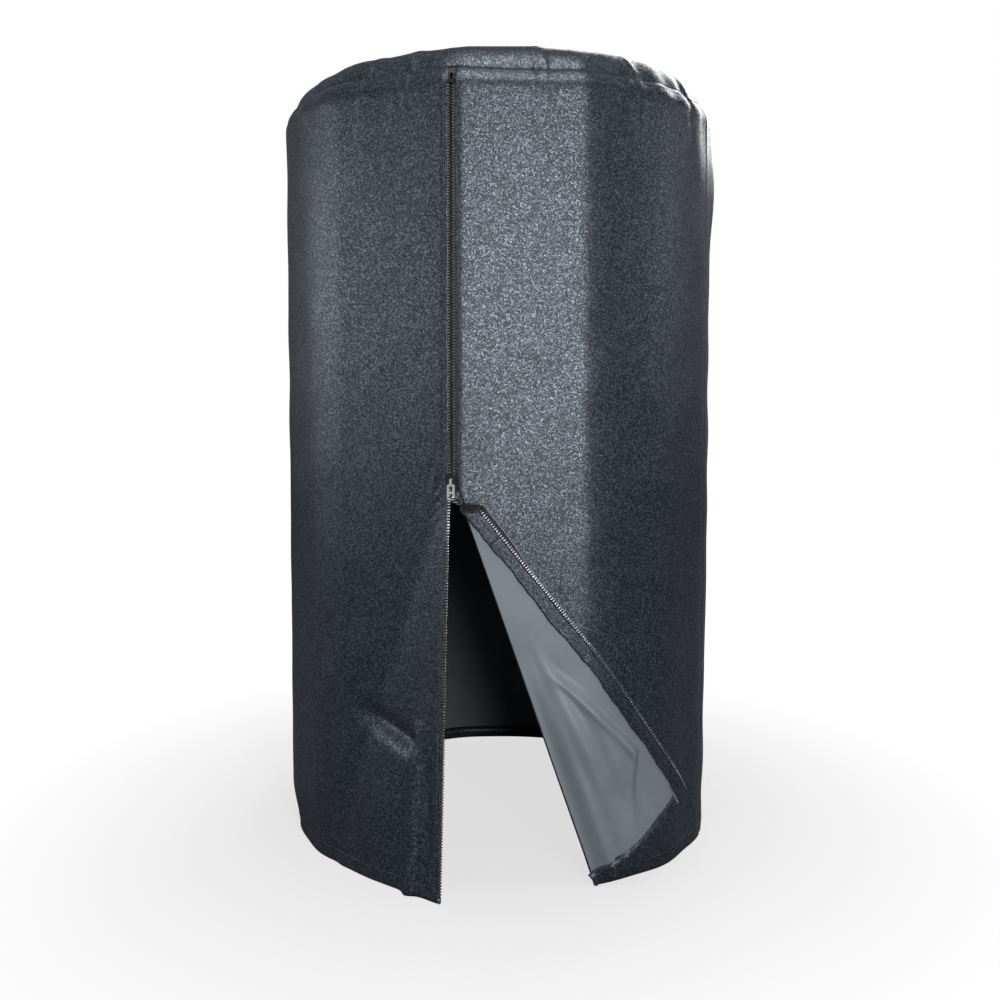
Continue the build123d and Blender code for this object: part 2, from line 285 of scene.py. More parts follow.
def own_map(tree):
    """The piece's UV map, in metres of cloth."""
    node = tree.nodes.new("ShaderNodeUVMap")
    node.uv_map = "cloth"
    return node.outputs[0]


def place_of(tree):
    """The point's place on the object."""
    return tree.nodes.new("ShaderNodeTexCoord").outputs["Object"]


def bumped(tree, shader, height, depth, strength):
    """Raise the surface by a height socket, to a depth in metres."""
    node = tree.nodes.new("ShaderNodeBump")
    node.inputs["Strength"].default_value = strength
    node.inputs["Distance"].default_value = depth
    tree.links.new(height, node.inputs["Height"])
    tree.links.new(node.outputs["Normal"], shader.inputs["Normal"])


def woven_material(name, dark, light, dusty, pitch, relief, rough, grain):
    """Woven cloth: yarn relief on the piece's own map, glints of single yarns painted into its colour as well
    as raised in its shine, dust by place.
    """
    material, tree, shader = new_material(name, rough, specular=1.0)
    yarn = placed(tree, weave, Vector=own_map(tree), Pitch=pitch)
    spark = placed(tree, glint, Vector=own_map(tree), Scale=grain)
    grime = placed(tree, dust, Vector=place_of(tree), Low=0.30)
    # Painted glints: the glint mask lightens single yarns' base colour as if they caught the light; the slub
    # adds the yarn's own uneven tone.
    bright = math_node(tree, "MULTIPLY", spark.outputs["Mask"], 0.95)
    bright = math_node(tree, "ADD", bright, math_node(tree, "MULTIPLY", yarn.outputs["Slub"], 0.20),
                       clamp=True)
    dusted = math_node(tree, "MULTIPLY", grime.outputs["Mask"], 0.30)
    tree.links.new(colour_mix(tree, dusted, colour_mix(tree, bright, dark, light), dusty),
                   shader.inputs["Base Color"])
    tree.links.new(math_node(tree, "SUBTRACT", rough,
                             math_node(tree, "MULTIPLY", spark.outputs["Mask"], 0.16)),
                   shader.inputs["Roughness"])
    height = math_node(tree, "ADD", yarn.outputs["Height"],
                       math_node(tree, "MULTIPLY", yarn.outputs["Slub"], 1.6))
    height = math_node(tree, "ADD", height, math_node(tree, "MULTIPLY", spark.outputs["Mask"], 1.6))
    bumped(tree, shader, height, relief, 0.6)
    tree.links.new(math_node(tree, "ADD", math_node(tree, "MULTIPLY", spark.outputs["Mask"], 1.3), 0.50),
                   shader.inputs["Specular IOR Level"])
    shader.inputs["Specular Tint"].default_value = (0.80, 0.90, 1.0, 1)
    shader.inputs["Sheen Weight"].default_value = 0.04
    shader.inputs["Sheen Roughness"].default_value = 0.45
    shader.inputs["Sheen Tint"].default_value = (0.75, 0.85, 1.0, 1)
    return material


cover_cloth = woven_material("cover_cloth", (0.0005, 0.0007, 0.0010), (0.066, 0.083, 0.107),
                             (0.024, 0.028, 0.033),
                             0.0010, 0.00007, 0.41, 640.0)

# Coated back: the same cloth under a thin pale film that fills the weave
coated_back, coat_tree, coat_shader = new_material("coated_back", 0.42, specular=0.5)
coat_yarn = placed(coat_tree, weave, Vector=own_map(coat_tree), Pitch=0.0010)
coat_dust = placed(coat_tree, dust, Vector=place_of(coat_tree), Low=0.25)
coat_cloud = noise_node(coat_tree, own_map(coat_tree), 22.0, 5.0, 0.6)
coat_colour = colour_mix(coat_tree, coat_cloud, (0.19, 0.215, 0.24), (0.27, 0.30, 0.33))
coat_dusted = math_node(coat_tree, "MULTIPLY", coat_dust.outputs["Mask"], 0.3)
coat_tree.links.new(colour_mix(coat_tree, coat_dusted, coat_colour, (0.16, 0.165, 0.165)),
                    coat_shader.inputs["Base Color"])
coat_tree.links.new(math_node(coat_tree, "ADD", math_node(coat_tree, "MULTIPLY", coat_cloud, 0.18), 0.33),
                    coat_shader.inputs["Roughness"])
bumped(coat_tree, coat_shader, math_node(coat_tree, "ADD", coat_yarn.outputs["Height"],
                                         math_node(coat_tree, "MULTIPLY", coat_cloud, 3.0)), 0.0002, 0.25)


# --- Back panel -------------------------------------------------------------------------------
# One piece of cloth from side seam to side seam round the back, sewn to the top and hanging from
# it. The plan of the whole cover is a circle with two flats that meet at the zip; the cloth has
# slack behind, soft upright folds, gathers under the top seam and a pinch at each side seam.
back_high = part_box("back_panel")[1]
cover_radius = back_high.x
side_height = back_high.z
facet_tilt = radians(17)
facet_end = 2 * facet_tilt
facet_width = 2 * cover_radius * sin(facet_tilt)
half_round = facet_width + cover_radius * (pi - facet_end)
seam_azimuth = radians(78)
seam_along = facet_width + cover_radius * (seam_azimuth - facet_end)
zip_flat = 0.014
zip_front = cover_radius - zip_flat * tan(facet_tilt)
cloth_wall = 0.0008
shoulder_drop = 0.032
shoulder_inset = 0.013
seam_groove = 0.0030
pleats = np.radians([-171, -148, -117, -96, -61, -26, -13, 21.5, 46, 68, 91, 124, 160])
slack = np.random.default_rng(11)
upright_folds = [(n, slack.uniform(0, 2 * pi), slack.uniform(0.5, 1.0)) for n in (3, 5, 8, 11, 15, 19)]
ripples = [(slack.integers(4, 22), slack.uniform(-60, 60), slack.uniform(0, 2 * pi)) for _ in range(26)]


def smooth(value, low, high):
    """0 below low, 1 above high, and an even S between them."""
    t = np.clip((value - low) / (high - low), 0, 1)
    return t * t * (3 - 2 * t)


def bell(value, middle, half):
    """1 at the middle, falling as e to minus the square of the distance over half."""
    return np.exp(-((value - middle) / half) ** 2)


def plan_radius(azimuth, strip):
    """Distance of the cloth from the middle line: the least of the circle, drawn in a little where
    it meets the flat, and the flat front, R cos t / cos(|a| - t), with a rounded corner between
    them, and then of the zip's flat strip for a share of it."""
    soft = 0.0009
    drawn_in = cover_radius - 0.0045 * bell(np.abs(azimuth), radians(31), radians(15))
    flat = cover_radius * np.cos(facet_tilt) / np.cos(np.clip(np.abs(azimuth) - facet_tilt, -1.3, 1.3))
    rounded = -soft * np.logaddexp(-drawn_in / soft, -flat / soft)
    zip_line = zip_front / np.cos(np.clip(azimuth, -1.3, 1.3))
    return rounded + (np.minimum(rounded, zip_line) - rounded) * strip


def azimuth_at(along):
    """Azimuth of a point so far along the plan from the zip: on the flat first, then on the circle."""
    size = np.abs(along)
    on_flat = np.arctan2(size * cos(facet_tilt), cover_radius - size * sin(facet_tilt))
    on_round = facet_end + (size - facet_width) / cover_radius
    return np.sign(along) * np.where(size < facet_width, on_flat, on_round)


def cloth_ease(azimuth, height):
    """How far the cloth stands out from its plan: upright folds that grow towards the hem, small
    crossing ripples, slack behind the right seam, seam pinches, and gathers under the top seam."""
    low = 1 - height / side_height
    turned = np.abs(azimuth)
    off_front = smooth(turned, 0.05, 0.75)
    folds = sum(size * np.sin(n * azimuth + phase) for n, phase, size in upright_folds) / 3
    crossing = sum(np.sin(n * azimuth + k * height + phase) for n, k, phase in ripples) / len(ripples)
    ease = 0.0022 * folds * off_front * (0.4 + 1.4 * low) + 0.0026 * crossing * (0.35 + 0.65 * off_front)
    ease -= bell(azimuth, radians(104), radians(26)) * (0.0065 + 0.005 * smooth(low, 0.6, 1.0))
    ease -= 0.002 * bell(azimuth, radians(-100), radians(25)) * smooth(low, 0.5, 1.0)
    ease -= 0.016 * bell(azimuth, radians(-84), radians(32)) * smooth(-height, -0.075, 0.0)
    ease += 0.007 * bell(azimuth, radians(92), radians(7)) * bell(height, 1.02, 0.07)
    ease -= 0.0020 * bell(turned, seam_azimuth, 0.010) * (1 + 0.4 * np.sin(height * 95 + azimuth * 3))
    under_seam = side_height - height
    ease += 0.0016 * np.exp(-under_seam / 0.045) * np.sin(azimuth * 37 + 2 * np.sin(azimuth * 5)) * off_front
    for pleat in pleats:
        away = np.angle(np.exp(1j * (azimuth - pleat))) * cover_radius / 0.006
        ease += 0.0042 * away * np.exp(-away ** 2) * np.exp(-under_seam / 0.030)
    return ease


def shoulder(height):
    """How far the cloth has turned in under the top seam at a height."""
    turned_in = smooth(height, side_height - shoulder_drop, side_height + 0.004) ** 1.5
    return shoulder_inset * turned_in + seam_groove * np.exp(-np.abs(side_height - height) / 0.0030)


def on_cover(along, height, depth=0.0, strip=1.0):
    """Point of the hung cover: so far along the plan from the zip (+ to the right, on round the
    back), at a height, and a depth behind the cloth's face. The zip's strip has no ease."""
    azimuth = azimuth_at(along)
    wrapped = np.angle(np.exp(1j * azimuth))
    held = smooth(np.abs(wrapped) * cover_radius, 0.010, 0.045)
    radius = plan_radius(wrapped, strip) + cloth_ease(wrapped, height) * held - depth
    radius = radius - shoulder(height)
    return np.stack(np.broadcast_arrays(radius * np.sin(azimuth), -radius * np.cos(azimuth), height), -1)


def grid_mesh(name, points, uv, materials, outward, thickness=0.0, closed=False, middle=None, rim=True):
    """A surface through a grid of points, with a UV map in metres called cloth, its faces turned to
    the outward side, and a wall of the given thickness behind them in the last material. A closed
    grid joins its last column to its first, and a middle point closes its last row."""
    rows, columns = points.shape[:2]
    index = np.arange(rows * columns).reshape(rows, columns)
    flat_points = points.reshape(-1, 3)
    flat_uv = np.broadcast_to(uv, (rows, columns, 2)).reshape(-1, 2)
    if closed:
        index = np.concatenate([index, index[:, :1]], 1)
    quads = np.stack([index[:-1, :-1], index[:-1, 1:], index[1:, 1:], index[1:, :-1]], -1).reshape(-1, 4)
    faces = [quads]
    if middle is not None:
        last = index[-1]
        faces.append(np.stack([last[:-1], last[1:], np.full(len(last) - 1, len(flat_points))], -1))
        flat_points = np.concatenate([flat_points, [middle]])
        flat_uv = np.concatenate([flat_uv, [middle[:2]]])
    corner = flat_points[quads.reshape(rows - 1, -1, 4)[(rows - 1) // 2, (columns - 1) // 2]]
    if np.dot(np.cross(corner[2] - corner[0], corner[3] - corner[1]), outward) < 0:
        faces = [group[:, ::-1] for group in faces]
    loops = np.concatenate([group.reshape(-1) for group in faces]).astype(np.int32)
    sizes = np.concatenate([np.full(len(group), group.shape[1]) for group in faces])
    mesh = bpy.data.meshes.new(name)
    mesh.vertices.add(len(flat_points))
    mesh.vertices.foreach_set("co", flat_points.reshape(-1).astype(np.float32))
    mesh.loops.add(len(loops))
    mesh.loops.foreach_set("vertex_index", loops)
    mesh.polygons.add(len(sizes))
    mesh.polygons.foreach_set("loop_start", (np.cumsum(sizes) - sizes).astype(np.int32))
    mesh.polygons.foreach_set("use_smooth", np.ones(len(sizes), bool))
    layer = mesh.uv_layers.new(name="cloth")
    layer.data.foreach_set("uv", flat_uv[loops].reshape(-1).astype(np.float32))
    mesh.update(calc_edges=True)
    mesh.validate()
    for material in materials:
        mesh.materials.append(material)
    piece = bpy.data.objects.new(name, mesh)
    scene.collection.objects.link(piece)
    if thickness:
        wall = piece.modifiers.new("wall", "SOLIDIFY")
        wall.use_rim = rim
        wall.thickness = thickness
        wall.offset = -1
        wall.material_offset = len(materials) - 1
    return piece


def spread(first, last, rows, columns, power=1.0):
    """Columns from first to last, where each is a number or one value per row."""
    share = np.linspace(0, 1, columns)[None, :] ** power
    first = np.broadcast_to(np.reshape(first, (-1, 1)), (rows, 1))
    last = np.broadcast_to(np.reshape(last, (-1, 1)), (rows, 1))
    return first + (last - first) * share


back_rise = spread(np.linspace(0, side_height, 170), np.linspace(0, side_height, 170), 170, 300)
back_along = spread(seam_along, 2 * half_round - seam_along, 170, 300)
back_panel = grid_mesh("back_cloth", on_cover(back_along, back_rise), np.stack([back_along, back_rise], -1),
                       [cover_cloth, coated_back], (0, 1, 0), cloth_wall)
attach(back_panel, "cover")
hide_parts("back_panel")


# --- Top panel --------------------------------------------------------------------------------
# A round piece of the same cloth, cut to the cover's plan and sewn to the sides edge to edge. It
# lies over the stack in a shallow dome, a little sunk in the middle, with gathers at the seam.
crown_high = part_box("top_panel")[1]
crown_rise = crown_high.z - side_height
crown_sag = 0.013
crown_azimuth, crown_step = np.meshgrid(np.linspace(-pi, pi, 421)[:-1], np.linspace(0, 1, 70)[:-1] ** 1.35)
crown_share = 1 - crown_step
crown_edge = plan_radius(crown_azimuth, 1.0) - shoulder(side_height)
crown_ease = cloth_ease(crown_azimuth, side_height) * smooth(np.abs(crown_azimuth) * cover_radius, 0.010,
                                                             0.045)
crown_radius = (crown_edge + crown_ease * np.exp(-crown_step / 0.10)) * crown_share
climb = 1 - np.clip((crown_share - 0.68) / 0.32, 0, 1) ** 4.8
sunk = crown_sag * smooth(-crown_share, -0.68, 0)
lump = sum(size * np.sin(n * crown_azimuth + phase + 5 * crown_share) for n, phase, size in upright_folds) / 3
crown_height = side_height + crown_rise * climb - sunk + 0.0030 * lump * climb * crown_share
gather = sum(bell(np.angle(np.exp(1j * (crown_azimuth - pleat))) * crown_radius, 0,
                  0.010) for pleat in pleats)
crown_height += 0.0045 * gather * smooth(crown_step, 0, 0.02) * np.exp(-crown_step / 0.10)
crown_points = np.stack([crown_radius * np.sin(crown_azimuth), -crown_radius * np.cos(crown_azimuth),
                         crown_height], -1)
top_panel = grid_mesh("top_cloth", crown_points, crown_points[..., :2], [cover_cloth, coated_back], (0, 0, 1),
                      cloth_wall, closed=True, middle=(0, 0, side_height + crown_rise - crown_sag))
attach(top_panel, "cover")
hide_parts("top_panel")


# --- Right front panel ------------------------------------------------------------------------
# One piece from the zip round to the side seam. Above the slider its turned edge runs beside the
# zip and shows some tape. Below it ends at the fold, where the flap's cloth turns back over it.
fold_joints = {j["child"]: j for j in frame["joints"]}
fold_top = fold_joints["right_flap"]["pos_m"][2]
fold_lift = 0.002
fold_angle = np.arctan2(facet_width - zip_flat, fold_top)


def fold_line(height):
    """Distance from the zip to the fold at a height."""
    return zip_flat + (fold_top - height) * np.tan(fold_angle)


def turned_edge(height):
    """Distance from the zip to the right cloth's edge above the slider: wavy, widest half way up."""
    edge = 0.0078 + 0.0036 * bell(height, 0.74, 0.13) - 0.0020 * smooth(height, 0.95, 1.1)
    return edge + 0.0005 * np.sin(height * 110) + 0.0004 * np.sin(height * 47 + 1)


right_rows = np.unique(np.concatenate([np.linspace(0, fold_top, 120),
                                       np.linspace(fold_top, side_height, 130)]))
right_start = np.where(right_rows > fold_top, turned_edge(right_rows) + (zip_flat - turned_edge(right_rows))
                       * (1 - smooth(right_rows, fold_top, fold_top + 0.012)), fold_line(right_rows))
right_along = spread(right_start, seam_along, len(right_rows), 130)
right_rise = spread(right_rows, right_rows, len(right_rows), 130)
right_panel = grid_mesh("right_front_cloth", on_cover(right_along, right_rise),
                        np.stack([right_along, right_rise], -1),
                        [cover_cloth, coated_back], (0.5, -1, 0), cloth_wall)
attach(right_panel, "cover")
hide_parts("right_front_panel")


# --- Left front panel and flap ----------------------------------------------------------------
# One uncut piece. Its lower corner beside the undone zip has sprung a little outward, with a dent
# and two soft ridges above the hem, so it bends gently across the fold line.
left_opened = radians(13)
bend_half = 0.018


def to_fold(along, height):
    """(down the fold, from the fold towards the zip) for a point of a flat front."""
    down = (along - zip_flat) * np.sin(fold_angle) + (fold_top - height) * np.cos(fold_angle)
    to_zip = (fold_top - height) * np.sin(fold_angle) - (along - zip_flat) * np.cos(fold_angle)
    return down, to_zip


def folded(along, height, depth, turn):
    """(along, height, depth) of a point of a flat front after turning out about the fold axis."""
    down, to_zip = to_fold(along, height)
    behind = -depth - fold_lift
    across = to_zip * np.cos(turn) - behind * np.sin(turn)
    out = to_zip * np.sin(turn) + behind * np.cos(turn)
    new_along = zip_flat + down * np.sin(fold_angle) - across * np.cos(fold_angle)
    new_height = fold_top - down * np.cos(fold_angle) - across * np.sin(fold_angle)
    return new_along, new_height, -fold_lift - out


def left_dents(along, height):
    """How far the left front is pushed in: a dent that runs in and down to an apex, a ridge that
    drops from the apex, a crease beside the zip, a belly, and puckers beside the slider."""
    slope = height - 0.232 + (0.135 - along) * 0.30
    dent = 0.013 * bell(slope, 0, 0.015) * smooth(along, 0.034, 0.060) * smooth(-along, -0.175, -0.110)
    ridge = 0.010 * bell(along, 0.044 + (0.24 - height) * 0.03, 0.010) * smooth(-height, -0.25, -0.19)
    crease = 0.005 * bell(along, 0.024, 0.006) * bell(height, 0.10, 0.07)
    belly = 0.006 * bell(along, 0.11, 0.05) * bell(height, 0.10, 0.09)
    waves = 0.0008 * np.sin((height + along * 1.5) * 260 + 3 * np.sin(height * 70))
    pucker = waves * bell(along, 0.020, 0.014) * bell(height, 0.555, 0.06)
    return dent - ridge + crease - belly + pucker * smooth(along, 0.004, 0.012)


def left_front(along, height, depth=0.0):
    """Point of the left front at rest: turned out about the fold by an angle that grows from none
    to the whole across a band on both sides of the fold."""
    turn = left_opened * smooth(to_fold(along, height)[1], -bend_half, bend_half)
    dents = left_dents(along, height) * smooth(along, 0.002, 0.030)
    new_along, new_height, new_depth = folded(along, height, depth + dents, turn)
    return on_cover(-new_along, new_height, new_depth, smooth(height, 0.49, 0.56))


def bend_left(piece):
    """Bake a left piece's placement into its mesh; its bend across the fold is already in its points."""
    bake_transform(piece)


left_rows = np.linspace(0, side_height, 270)
left_edge = 0.0056 + 0.0005 * np.sin(left_rows * 83) + 0.0004 * np.sin(left_rows * 31 + 2)
left_along = spread(left_edge, seam_along, 270, 160, 1.15)
left_rise = spread(left_rows, left_rows, 270, 160)
left_panel = grid_mesh("left_front_cloth", left_front(left_along, left_rise),
                       np.stack([-left_along, left_rise], -1),
                       [cover_cloth, coated_back], (-0.5, -1, 0), cloth_wall)
bend_left(left_panel)
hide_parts("left_front_panel", "left_flap_panel")


# --- Right flap -------------------------------------------------------------------------------
# The right panel's lower corner, folded right back so that its coated side shows. It lies round
# the cover, with a soft roll at the fold, a ridge and a hollow above the hem, and it twists from
# closed to folded over a short way under the slider.
right_opened = radians(176)
twist_start, twist_end = -0.014, 0.028
split_height = 0.478
split_lap = 0.0001


def flap_swell(along, height):
    """How far the folded flap stands off towards the viewer: a tent with a crest on its upper edge,
    that falls away before the zip band, and soft streaks down the fold."""
    down, to_zip = to_fold(along, height)
    upper = 0.050 + (down - 0.292) * 0.5 - to_zip
    lower = 0.113 - (down - 0.419) * 0.44 - to_zip
    inside = np.minimum(upper, lower)
    fall = -0.014 - 0.050 * smooth(-height, -0.09, 0.0)
    tent = 0.013 * smooth(inside, fall, 0.004) * smooth(down, 0.24, 0.36)
    hem_bow = 0.012 * smooth(-height, -0.10, 0.0) * bell(to_zip, 0.095, 0.055)
    crest = 0.005 * bell(upper, 0.004, 0.006) * smooth(down, 0.27, 0.30) * smooth(lower, -0.004, 0.010)
    streak = 0.0022 * np.sin(to_zip * 190 + 2.2 * np.sin(down * 9)) * smooth(to_zip, 0.01, 0.04)
    streak = streak * smooth(down, 0.10, 0.2) * smooth(inside, -0.02, 0.02)
    return (tent + crest + streak + hem_bow) * smooth(to_zip, 0.004, 0.030)


def right_flap(along, height, depth=0.0):
    """Point of the right flap at rest, folded back, laid round the cover and drooping a little."""
    turn = right_opened * smooth(to_fold(along, height)[0], twist_start, twist_end)
    swell = flap_swell(along, height) * smooth(along, 0.016, 0.040)
    new_along, new_height, new_depth = folded(along, height, depth + swell, turn)
    down, to_zip = to_fold(along, height)
    droop = 0.014 * smooth(down, 0.25, 0.52) * smooth(to_zip, 0.03, 0.16)
    return on_cover(new_along, new_height - droop, new_depth, smooth(height, 0.49, 0.56))


def twist_right(piece):
    """Bake the placement of a piece under the slider into its mesh; its turn from closed to folded is already
    in its points.
    """
    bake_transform(piece)


def lay_right(piece):
    """Let a piece ride on the right flap, with a mesh of its own."""
    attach(piece, "right_flap")
    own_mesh(piece)


def flap_edge(height):
    """Distance from the zip to the flap cloth's edge: past the middle in its upper part."""
    edge = 0.0030 - 0.0080 * smooth(height, 0.34, 0.50) + 0.0125 * smooth(height, 0.530, 0.562)
    return edge + 0.0007 * np.sin(height * 120) * smooth(height, 0.50, 0.54)


def flap_cloth(name, low, high, rows, columns):
    """The flap's cloth between two heights at the zip, from its edge to the fold. Rows run square
    to the zip at the top of the piece and level at the hem."""
    level = np.linspace(low, high, rows)
    along = spread(flap_edge(level), fold_line(np.minimum(level, fold_top)), rows, columns)
    height = spread(level, level, rows, columns)
    return grid_mesh(name, right_flap(along, height), np.stack([along, height], -1),
                     [cover_cloth, coated_back],
                     (0, 1, 0), cloth_wall, rim=False)


flap_lower = flap_cloth("right_flap_cloth", 0, split_height, 190, 110)
lay_right(flap_lower)
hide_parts("right_flap_panel")
flap_upper = flap_cloth("right_flap_cloth_top", split_height, fold_top + 0.008, 60, 24)
twist_right(flap_upper)

# The roll where the cloth turns back on itself
roll_down, roll_turn = np.meshgrid(np.linspace(0, facet_width / np.sin(fold_angle) * 0.93, 120),
                                   np.linspace(0, 1, 9),
                                   indexing="ij")
roll_low = fold_top - roll_down * np.cos(fold_angle)
roll_along = fold_line(roll_low)
roll_total = right_opened * smooth(roll_down, twist_start, twist_end)
roll_points = on_cover(*folded(roll_along, roll_low, 0.0, roll_total * roll_turn))
roll = grid_mesh("right_fold_roll", roll_points, np.stack([roll_along + roll_turn * 0.006, roll_low], -1),
                 [cover_cloth, coated_back], (-1, 0, 0), 0.0)
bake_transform(roll)


# --- Hems and seam allowances -----------------------------------------------------------------
# The lower edge of every panel is turned up inside and sewn. The side seams' allowances and the
# binding under the top seam lie flat on the inside.
hem_height = 0.022
binding_tape = woven_material("binding_tape", (0.012, 0.013, 0.016), (0.050, 0.055, 0.062),
                              (0.06, 0.06, 0.06),
                              0.0007, 0.0002, 0.6, 900.0)


def ride_cover(piece):
    """Let a piece ride on the cover body."""
    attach(piece, "cover")


def hem_strip(name, shape, first, last, columns, outward):
    """A turned-up hem: its section starts inside at the hem's height, runs down, and rolls under
    the cloth's edge. shape maps along, height and depth to a point."""
    section = np.array([[hem_height, 0.0012], [hem_height * 0.5, 0.0016], [0.002, 0.0016], [0.0004, 0.0014],
                        [-0.0003, 0.0008], [0.0002, 0.0002]])
    along = spread(first, last, len(section), columns)
    height = spread(section[:, 0], section[:, 0], len(section), columns)
    depth = spread(section[:, 1], section[:, 1], len(section), columns)
    return grid_mesh(name, shape(along, height, depth), np.stack([along, height], -1),
                     [cover_cloth, cover_cloth],
                     outward, 0.0006)


hem_start = 0.030
back_run_end = 2 * half_round - seam_along
for name, shape, first, last, columns, outward, follow, nodes in (
        ("back_hem_turn", on_cover, seam_along, back_run_end, 260, (0, -1, 0), ride_cover, ["back_hem"]),
        ("right_hem_turn", on_cover, fold_line(0.0), seam_along, 60, (-0.5, 1, 0), ride_cover, ["right_hem"]),
        ("left_hem_turn", left_front, hem_start, seam_along, 130, (0.5, 1, 0), bend_left,
         ["left_hem", "left_flap_hem"]),
        ("right_flap_hem_turn", right_flap, hem_start, fold_line(0.0) - 0.001, 80, (0, -1, 0), lay_right,
         ["right_flap_hem"])):
    hem = hem_strip(name, shape, first, last, columns, outward)
    follow(hem)
    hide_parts(*nodes)

seam_half = 0.006
seam_top = side_height - 0.010
for side, word in ((-1, "left"), (1, "right")):
    seam_level = np.linspace(hem_height, seam_top, 120)
    seam_rise = spread(seam_level, seam_level, 120, 7)
    seam_across = spread(seam_along - seam_half, seam_along + seam_half, 120, 7)
    allowance = grid_mesh(f"{word}_side_seam_tape", on_cover(side * seam_across, seam_rise, 0.0012),
                          np.stack([seam_across, seam_rise], -1), [binding_tape, binding_tape],
                          (-side, 0, 0), 0.0008)
    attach(allowance, "cover")
    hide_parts(f"{word}_side_seam")

binding_level = np.linspace(seam_top, side_height - 0.0005, 6)
binding_rise = spread(binding_level, binding_level, 6, 500)
binding_along = spread(-half_round, half_round, 6, 501)[:, :-1]
binding = grid_mesh("top_seam_tape", on_cover(binding_along, binding_rise, 0.0014),
                    np.stack([binding_along, binding_rise], -1),
                    [binding_tape, binding_tape], (0, -1, 0), 0.0009, closed=True)
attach(binding, "cover")
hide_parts("top_seam_binding")


# --- Zip tapes and turned-in cloth ------------------------------------------------------------
# A woven tape carries each row of teeth. The cloth's edge is turned in beside it: a band of the
# same cloth, face out, with a slightly uneven inner edge.
zip_tape = woven_material("zip_tape", (0.006, 0.0065, 0.008), (0.030, 0.032, 0.038), (0.04, 0.04, 0.04),
                          0.0006, 0.00025, 0.65, 1100.0)
tape_top = side_height - 0.010


def band(name, shape, low, high, inner, outer, depth, rows, columns, material, outward, thickness):
    """A long strip beside the zip between two heights; inner and outer give its edges by height."""
    level = np.linspace(low, high, rows)
    along = spread(inner(level), outer(level), rows, columns)
    height = spread(level, level, rows, columns)
    return grid_mesh(name, shape(along, height, depth + 0 * along), np.stack([along, height], -1),
                     [material, material], outward, thickness)


def tape_inner(height):
    """The tape's edge under the teeth."""
    return 0.0020 + 0 * height


def flap_tape_inner(height):
    """On the right flap the tape backs the cloth's edge, short of a thin line of its coating."""
    return np.minimum(flap_edge(height) + 0.0009, 0.0020)


def tape_outer(height):
    """The tape's sewn edge."""
    return 0.0150 + 0 * height


def facing_inner(height):
    """Where the turned-in cloth starts beside the teeth."""
    return 0.0054 + 0.0004 * np.sin(height * 61)


def facing_outer(height):
    """The turned-in cloth's uneven inner edge."""
    return 0.0235 + 0.0011 * np.sin(height * 38 + 1) + 0.0007 * np.sin(height * 97) + 0.0004 * np.sin(height
                                                                                                      * 260)


tape_depth, facing_depth = 0.0010, 0.0020
for name, inner, outer, depth, material, thickness, slot in (
        ("tape", tape_inner, tape_outer, tape_depth, zip_tape, 0.0007, "zip_tape"),
        ("facing", facing_inner, facing_outer, facing_depth, cover_cloth, 0.0006, "cover_cloth")):
    left_strip = band(f"left_{name}_strip", left_front, 0, tape_top, inner, outer, depth, 380, 7, material,
                      (-0.3, -1, 0), thickness)
    bend_left(left_strip)
    upper_strip = band(f"right_{name}_strip", on_cover, fold_top + 0.004, tape_top, inner, outer, depth, 180,
                       7,
                       material, (0.3, -1, 0), thickness)
    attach(upper_strip, "cover")
    flap_inner = flap_tape_inner if name == "tape" else inner
    twist_strip = band(f"right_{name}_twist", right_flap, split_height, fold_top + 0.008, flap_inner, outer,
                       depth, 60,
                       9, material, (0.3, 1, 0), thickness)
    twist_right(twist_strip)
    lower_strip = band(f"right_flap_{name}_strip", right_flap, 0, split_height + split_lap, flap_inner,
                       outer, depth, 190, 9,
                       material, (0, 1, 0), thickness)
    lay_right(lower_strip)
    node = "zip_facing" if name == "facing" else "tape_upper"
    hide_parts(f"left_{node}", f"left_flap_{name}")
    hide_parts(f"right_{node}")
    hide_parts(f"right_flap_{name}")


# --- Zip teeth and stops ----------------------------------------------------------------------
# Pressed metal teeth, clamped on the edge of each tape, with a narrow neck and a nose that locks
# between two teeth of the other row. They are dark, and bright where the slider rubs their fronts.
tooth_pitch = 0.004
tooth_metal, tooth_tree, tooth_shader = new_material("tooth_metal", 0.34, metallic=1.0)
tooth_map = tooth_tree.nodes.new("ShaderNodeSeparateXYZ")
tooth_tree.links.new(own_map(tooth_tree), tooth_map.inputs[0])
rubbed = math_node(tooth_tree, "MULTIPLY", noise_node(tooth_tree, place_of(tooth_tree), 90.0, 3.0, 0.6), 1.5)
rubbed = math_node(tooth_tree, "MULTIPLY", rubbed, tooth_map.outputs[0], clamp=True)
tooth_tree.links.new(colour_mix(tooth_tree, rubbed, (0.075, 0.078, 0.085), (0.80, 0.81, 0.82)),
                     tooth_shader.inputs["Base Color"])
tooth_tree.links.new(math_node(tooth_tree, "SUBTRACT", 0.42, math_node(tooth_tree, "MULTIPLY", rubbed, 0.2)),
                     tooth_shader.inputs["Roughness"])


def tooth_grid(across, low_half, layers):
    """One tooth as rings of points: its outline across the zip, mirrored up and down, carried
    through its depth, with the end rings drawn in. Gives along, height, depth and front share."""
    outline_along = np.concatenate([across, across[::-1]])
    outline_height = np.concatenate([low_half, -low_half[::-1]])
    depth, draw, front = layers.T
    middle = outline_along.mean()
    along = middle + (outline_along - middle)[None] * draw[:, None]
    height = outline_height[None] * draw[:, None]
    return along, height, np.repeat(depth[:, None], len(outline_along), 1), np.repeat(front[:, None],
                                                                                      len(outline_along), 1)


